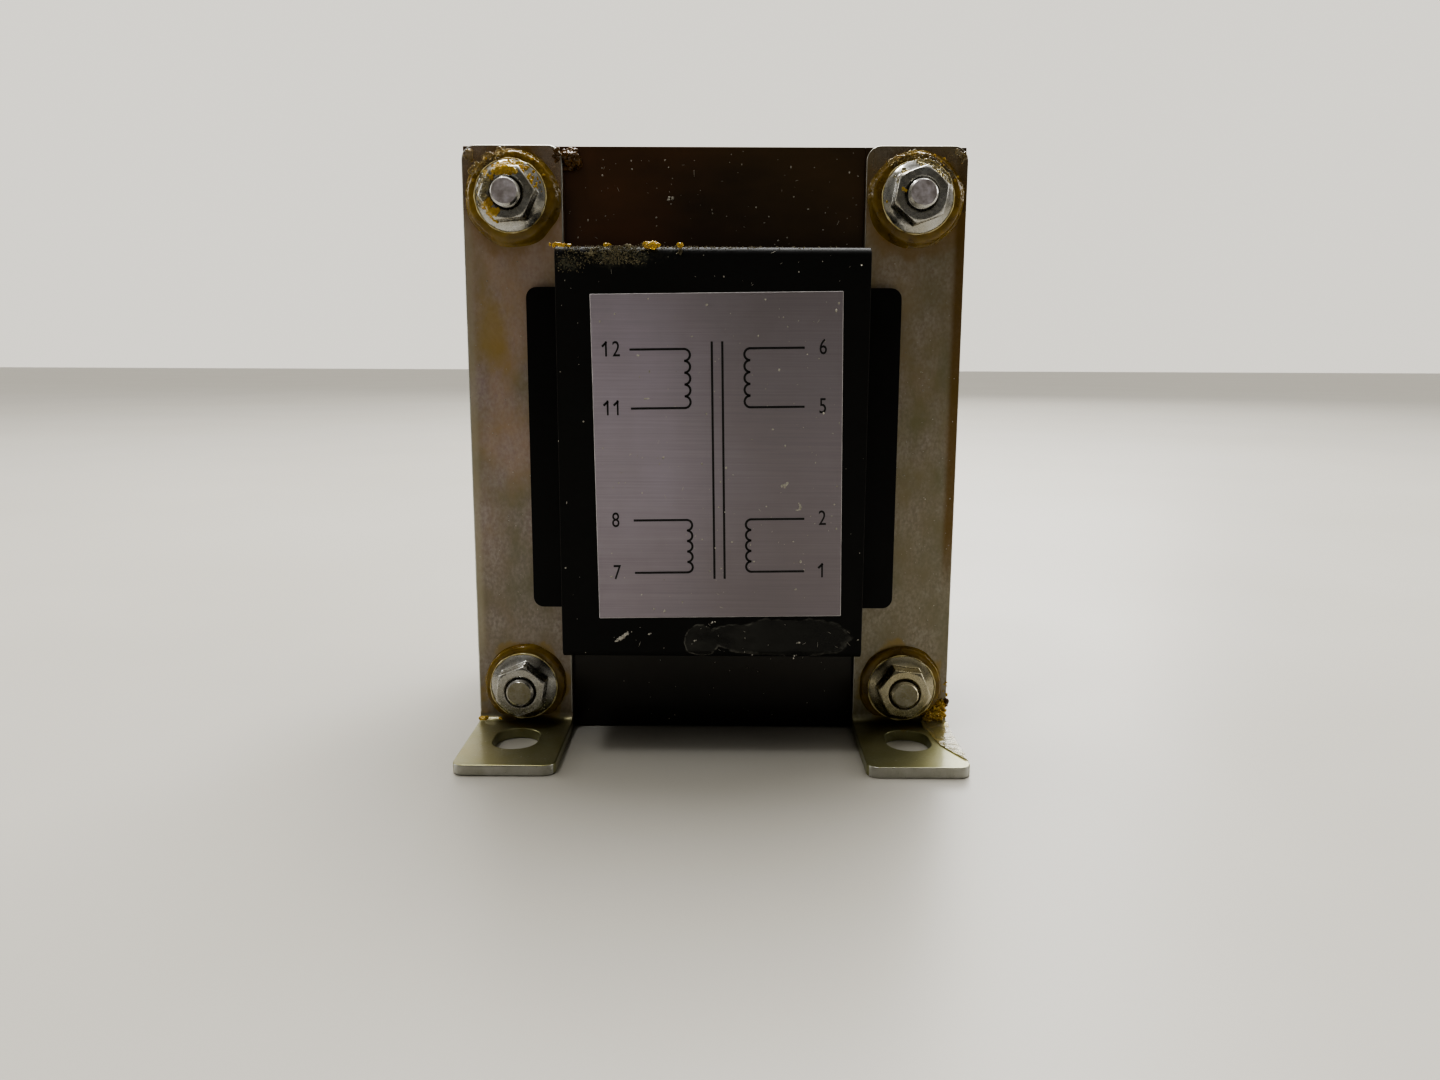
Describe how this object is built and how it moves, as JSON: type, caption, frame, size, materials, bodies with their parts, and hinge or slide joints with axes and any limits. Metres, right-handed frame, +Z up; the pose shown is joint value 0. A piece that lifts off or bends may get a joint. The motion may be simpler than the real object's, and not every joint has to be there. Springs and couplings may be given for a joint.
{
  "type": "laminated chassis transformer",
  "caption": "Laminated mains transformer with a split bobbin, slotted foot brackets bolted to its core, quick-connect tabs behind its coil and a plain metal-film label in front.",
  "frame": {"origin": "on the mounting surface, under the middle of the core", "axes": "+X to the right of someone facing the label, +Y from the label side to the terminal side, +Z up"},
  "size_m": [0.0714, 0.0758, 0.086],
  "materials": {
    "varnished_steel": "varnished",
    "zinc_plate": "satin zinc plate under varnish",
    "zinc_fastener": "bright zinc plate",
    "moulded_nylon": "moulded",
    "black_wrap": "satin",
    "metal_film": "satin",
    "enamelled_copper": "enamelled",
    "yellow_tape": "gloss",
    "fibre": "varnish-soaked",
    "sleeve_paper": "matte",
    "tinned_brass": "tinned"
  },
  "bodies": {
    "root": {"e_laminations": "varnished_steel", "i_laminations": "varnished_steel", "bobbin": "moulded_nylon", "primary_winding": "enamelled_copper", "secondary_winding": "enamelled_copper", "primary_tape": "yellow_tape", "secondary_tape": "yellow_tape", "coil_cover": "black_wrap", "label": "metal_film", "bracket_front_left": "zinc_plate", "bracket_front_right": "zinc_plate", "bracket_back_left": "zinc_plate", "bracket_back_right": "zinc_plate", "terminal_1": "tinned_brass", "terminal_2": "tinned_brass", "terminal_5": "tinned_brass", "terminal_6": "tinned_brass", "terminal_7": "tinned_brass", "terminal_8": "tinned_brass", "terminal_11": "tinned_brass", "terminal_12": "tinned_brass", "clamp_bolts": "zinc_fastener", "flange_nuts": "zinc_fastener", "front_washers": "fibre", "back_washers": "fibre", "bolt_sleeves": "sleeve_paper", "lead_wires": "enamelled_copper"}
  },
  "joints": []
}
